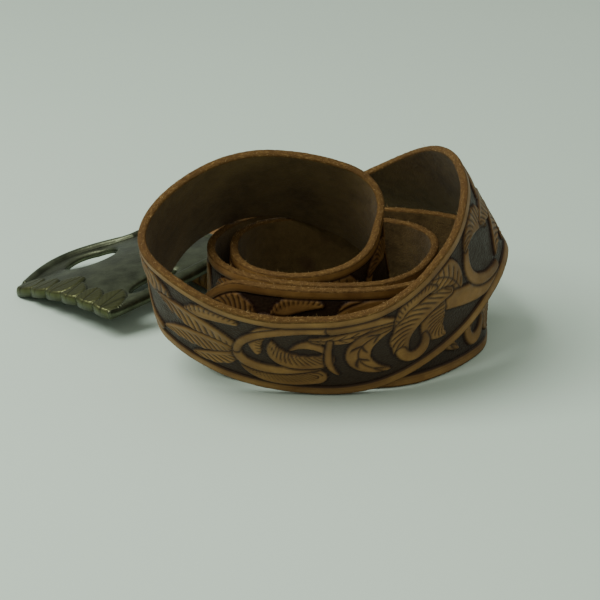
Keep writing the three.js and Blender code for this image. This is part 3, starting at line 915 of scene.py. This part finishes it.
@dataclass
class BucklePlate:
    """The cast plate: domed, with two slots, raised long sides and leaves on its free end."""

    length: float = 68.0
    width: float = 54.0
    thick: float = 2.4
    dome: float = 4.0
    front_height: float = 3.4
    turn: float = 39.0
    rise: float = 9.0
    roll: float = 7.0
    bar_setback: float = 10.0
    far_bulge: float = 10.0
    near_bulge: float = 1.0
    bulge_reach: float = 0.76
    end_slant: float = 6.0
    end_taper: float = 5.0
    slot_length: float = 21.0
    slot_place: float = 0.44
    far_slot_width: float = 19.0
    near_slot_width: float = 6.0
    rim_width: float = 4.0
    rim_height: float = 1.3
    leaf_count: int = 6
    leaf_length: float = 11.5
    leaf_height: float = 1.0
    cell: float = 0.34

    def dome_at(self, x: np.ndarray, y: np.ndarray) -> np.ndarray:
        """How far the skin stands above its edge."""
        over = np.maximum(0, 1 - (y / (self.width / 2)) ** 2)
        run = np.sin((np.clip(x / self.length, 0, 1) * 0.75 + 0.2) * math.pi)
        return self.dome * over * np.maximum(0, run)

    def sides(self, x: np.ndarray) -> tuple[np.ndarray, np.ndarray]:
        """Where the far and the near long side are at a place along the plate."""
        share = np.clip(x / self.length, 0, 1)
        bulge = np.sin(math.pi * np.minimum(1, share / self.bulge_reach))
        side = self.width / 2 - self.end_taper * np.maximum(0, share - 0.86) / 0.14
        return side + self.far_bulge * bulge, -side - self.near_bulge * bulge

    def slots(self) -> list[Triple]:
        """Middle and half width of the near and the far slot."""
        place = self.length * self.slot_place
        half = self.width / 2
        far = half + self.far_bulge * 0.9 - self.rim_width * 1.6 - self.far_slot_width / 2
        near = half + self.near_bulge - self.rim_width - 0.5 - self.near_slot_width / 2
        return [(place, -near, self.near_slot_width / 2), (place, far, self.far_slot_width / 2)]

    def end_at(self, y: np.ndarray) -> np.ndarray:
        """Where the scalloped free end is at a place across the plate."""
        pitch = self.width / self.leaf_count
        place = (y + self.width / 2) / pitch
        off = (place - np.floor(place) - 0.5) / 0.55
        slant = self.end_slant * (0.5 - y / self.width)
        return slant + 0.6 - 1.7 * np.sqrt(np.maximum(0, 1 - off**2))

    def leaf_relief(self, x: np.ndarray, y: np.ndarray) -> tuple[np.ndarray, np.ndarray]:
        """The raised leaves of the free end.

        Args:
            x: Places along the plate.
            y: Places across it.

        Returns:
            Their height in millimetres and their dark cuts.
        """
        high, dark = np.zeros_like(x), np.zeros_like(x)
        pitch = self.width / self.leaf_count
        for k in range(self.leaf_count):
            middle = -self.width / 2 + pitch * (k + 0.5)
            reach = self.leaf_length * (1 + 0.25 * math.cos(k * 2.1))
            lean = math.radians(14 if k < self.leaf_count / 2 else -14)
            run = x - self.end_slant * (0.5 - middle / self.width)
            u = run * math.cos(lean) + (y - middle) * math.sin(lean)
            v = (y - middle) * math.cos(lean) - run * math.sin(lean)
            share = np.clip((u + 2.2) / (reach + 1.2), 0, 1)
            half = pitch * 0.6 * np.sin(math.pi * np.clip(share * 0.86 + 0.14, 0, 1)) ** 0.7
            d = np.abs(v) - half
            inside = (d < 0) & (share < 1)
            crown = np.clip(-d / 1.3, 0, 1)
            rise = self.leaf_height * (0.35 + 0.8 * crown * (2 - crown))
            vein = np.exp(-((v / 0.32) ** 2))
            comb = np.exp(-((((0.62 * u - 0.85 * np.abs(v)) % 1.5 - 0.75) / 0.26) ** 2))
            cuts = np.maximum(vein, 0.3 * comb * (np.abs(v) < half - 0.35))
            rise = rise - 0.2 * cuts
            high = np.where(inside, rise, high)
            dark = np.where(inside, 0.55 * cuts, dark)
            beside = (d >= 0) & (d < 0.6) & (share < 0.97)
            dark = np.where(beside, np.maximum(dark, 1 - d / 0.6), dark)
        return high, dark

    def skin(self, x: np.ndarray, y: np.ndarray) -> tuple[np.ndarray, ...]:
        """Height of the top, with what is rubbed bright and what is dark, at each place."""
        far, near = self.sides(x)
        inset = np.minimum(far - y, y - near)
        rim = np.clip(1 - inset / self.rim_width, 0, 1) * (x > self.length * 0.06)
        bar = np.sin(math.pi * np.clip(inset / self.rim_width, 0.12, 1)) ** 0.6
        groove = np.exp(-(((inset - self.rim_width) / 0.5) ** 2))
        high = self.rim_height * bar * (rim > 0) - 0.25 * groove
        end_bar = np.clip((x - self.length + 3.2) / 0.8, 0, 1)
        high = np.maximum(high, 0.7 * end_bar)
        leaf, dark = self.leaf_relief(x, y)
        worn = np.clip(leaf / self.leaf_height, 0, 1) * 0.85
        high = np.maximum(high * (leaf <= 0), leaf)
        edge = np.minimum(np.minimum(inset, self.length - x), x - self.end_at(y))
        high = high - 0.9 * np.clip(1 - edge / 0.9, 0, 1) ** 2
        dark = np.maximum(dark, 0.6 * groove)
        return high, worn, dark

    def matrix(self) -> Matrix:
        """Where the plate lies, in metres."""
        turn = Matrix.Rotation(math.radians(self.turn), 4, "Z")
        turn @= Matrix.Rotation(-math.radians(self.rise), 4, "Y")
        turn @= Matrix.Rotation(-math.radians(self.roll), 4, "X")
        last = PATH[-1]
        end = Vector((last[0] * COIL_WIDTH, last[1] * COIL_DEPTH, 0))
        front = end - (turn @ Vector((1, 0, 0))) * (self.length - self.bar_setback)
        front.z = self.front_height
        return Matrix.Translation((front - Vector(PART_CENTRE)) * MM) @ turn

    def build(self, finish: bpy.types.Material) -> bpy.types.Object:
        """Make the plate.

        Args:
            finish: Its material.

        Returns:
            The finished object.
        """
        nx, ny = round((self.length + 2) / self.cell), round(self.width * 1.15 / self.cell)
        bm = bmesh.new()
        bmesh.ops.create_grid(bm, x_segments=nx, y_segments=ny, size=1)
        slots = self.slots()
        for v in bm.verts:
            share = (v.co.x + 1) / 2
            x = share * self.length
            far, near = (float(s) for s in self.sides(np.float64(x)))
            y = near + (far - near) * (v.co.y + 1) / 2
            x += float(self.end_at(np.float64(y))) * max(0.0, 1 - share * 6)
            v.co = (x, y, 0)
        half_long = self.slot_length / 2

        def slot_reach(co: Vector, slot: Triple) -> float:
            """Below one inside a slot."""
            return math.hypot((co.x - slot[0]) / half_long, (co.y - slot[1]) / slot[2])

        for slot in slots:
            gone = [f for f in bm.faces if slot_reach(f.calc_center_median(), slot) < 1]
            bmesh.ops.delete(bm, geom=gone, context="FACES")
            for v in bm.verts:
                reach = slot_reach(v.co, slot)
                if v.is_boundary and 0 < reach < 1.35:
                    v.co.x = slot[0] + (v.co.x - slot[0]) / reach
                    v.co.y = slot[1] + (v.co.y - slot[1]) / reach
        floor = list(bm.faces)
        made = bmesh.ops.extrude_face_region(bm, geom=floor)["geom"]
        top = {v for v in made if isinstance(v, bmesh.types.BMVert)}
        bmesh.ops.recalc_face_normals(bm, faces=bm.faces)
        verts = list(bm.verts)
        x = np.array([v.co.x for v in verts])
        y = np.array([v.co.y for v in verts])
        high, worn, dark = self.skin(x, y)
        round_slot = np.zeros_like(x)
        for slot in slots:
            reach = np.hypot((x - slot[0]) / half_long, (y - slot[1]) / slot[2])
            round_slot = np.maximum(round_slot, np.clip(1 - (reach - 1) * slot[2], 0, 1))
        high = high - 0.7 * round_slot**2
        base = self.dome_at(x, y)
        on_top = np.array([v in top for v in verts])
        for k, v in enumerate(verts):
            v.co.z = base[k] + (self.thick + high[k] if on_top[k] else 0.0)
        for face in bm.faces:
            face.smooth = True
        spot = self.matrix() @ Matrix.Diagonal((MM, MM, MM, 1))
        bmesh.ops.transform(bm, matrix=spot, verts=bm.verts)
        bmesh.ops.recalc_face_normals(bm, faces=bm.faces)
        mesh = mesh_from(bm, "buckle_plate_cast")
        for key, values in (("worn", worn), ("dark", dark)):
            store = mesh.attributes.new(key, "FLOAT", "POINT")
            store.data.foreach_set("value", np.where(on_top, values, 0.2).astype(np.float32))
        mesh.materials.append(finish)
        return placed("buckle_plate_cast", mesh)


@dataclass
class Studio:
    """The pale floor, the soft lights and the camera."""

    elevation: float = 23.5
    distance: float = 900.0
    lens: float = 146.9
    target: Triple = (-7.35, 82.98, 0.0)
    floor_dark: Triple = (0.60, 0.715, 0.615)
    floor_light: Triple = (0.62, 0.735, 0.63)

    def point(self, thing: bpy.types.Object, at: Vector) -> None:
        """Turn a lamp or the camera towards a place."""
        thing.rotation_euler = (at - thing.location).to_track_quat("-Z", "Y").to_euler()

    def camera(self) -> None:
        """Set the camera at the photograph's viewing angle."""
        look = (Vector(self.target) - Vector(PART_CENTRE)) * MM
        angle = math.radians(self.elevation)
        back = Vector((0, -math.cos(angle), math.sin(angle))) * self.distance * MM
        data = bpy.data.cameras.new("camera")
        data.lens = self.lens
        data.sensor_width = 36
        camera = placed("camera", data)
        camera.location = look + back
        self.point(camera, look)
        bpy.context.scene.camera = camera

    def lamp(self, name: str, at: Triple, size: float, watts: float,
             colour: Triple) -> None:
        """Add one soft lamp, aimed at the belt."""
        data = bpy.data.lights.new(name, "AREA")
        data.shape = "DISK"
        data.size = size
        data.energy = watts
        data.color = colour
        lamp = placed(name, data)
        lamp.location = at
        self.point(lamp, Vector((0, 0, 0.03)))

    def floor(self) -> None:
        """Lay the pale sweep under and behind the belt."""
        bm = bmesh.new()
        bmesh.ops.create_grid(bm, x_segments=1, y_segments=1, size=4)
        mesh = mesh_from(bm, "floor")
        n = Nodes("pale_floor")
        tone = n.ramp(n.noise(n.place(), 3, 2), [(0.3, self.floor_dark), (0.7, self.floor_light)])
        n.paint(tone, 0.75)
        mesh.materials.append(n.material)
        floor = placed("floor", mesh)

    def build(self) -> None:
        """Set the whole stage."""
        self.camera()
        self.floor()
        world = bpy.data.worlds.new("studio")
        bpy.context.scene.world = world
        world.use_nodes = True
        sky = world.node_tree.nodes["Background"]
        sky.inputs["Color"].default_value = (0.86, 0.93, 0.84, 1)
        sky.inputs["Strength"].default_value = 0.42
        self.lamp("key", (-0.50, -0.12, 0.85), 0.75, 9.5, (0.97, 1.0, 0.95))
        self.lamp("front", (0.15, -0.8, 0.75), 0.6, 1.6, (1.0, 0.98, 0.93))


@dataclass
class Hardware:
    """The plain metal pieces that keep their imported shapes."""

    names: tuple[str, ...] = ("fold_rivet_far", "fold_rivet_near", "strap_loop", "hook_post")

    def dress(self, finish: bpy.types.Material) -> None:
        """Give each piece its finish."""
        for name in self.names:
            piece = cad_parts[name]
            for slot in piece.material_slots:
                slot.material = finish
            LOG.info("dressed %s", name)


def main() -> None:
    """Build the belt piece by piece and set it on its stage."""
    logging.basicConfig(level=logging.INFO, format="%(name)s: %(message)s")
    Studio().build()
    path = StrapPath()
    LOG.info("strap path is %.1f mm long", path.length)
    carving = Carving(path)
    finishes = [ToolingFinish().make(), EdgeFinish().make(), FleshFinish().make()]
    runs = StrapMaker(carving).build(finishes)
    HolePunch(path).punch(runs[0])
    for run in runs:
        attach(run, "root")
        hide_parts("strap")
        LOG.info("built %s with %d faces", run.name, len(run.data.polygons))
    fibres = EdgeFibres(path).build(FibreFinish().make())
    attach(fibres, "root")
    LOG.info("built %s with %d faces", fibres.name, len(fibres.data.polygons))
    plate = BucklePlate().build(PewterFinish("buckle_pewter", relief=True).make())
    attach(plate, "root")
    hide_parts("buckle_plate")
    LOG.info("built %s with %d faces", plate.name, len(plate.data.polygons))
    Hardware().dress(PewterFinish().make())


if __name__ == "__main__":
    main()
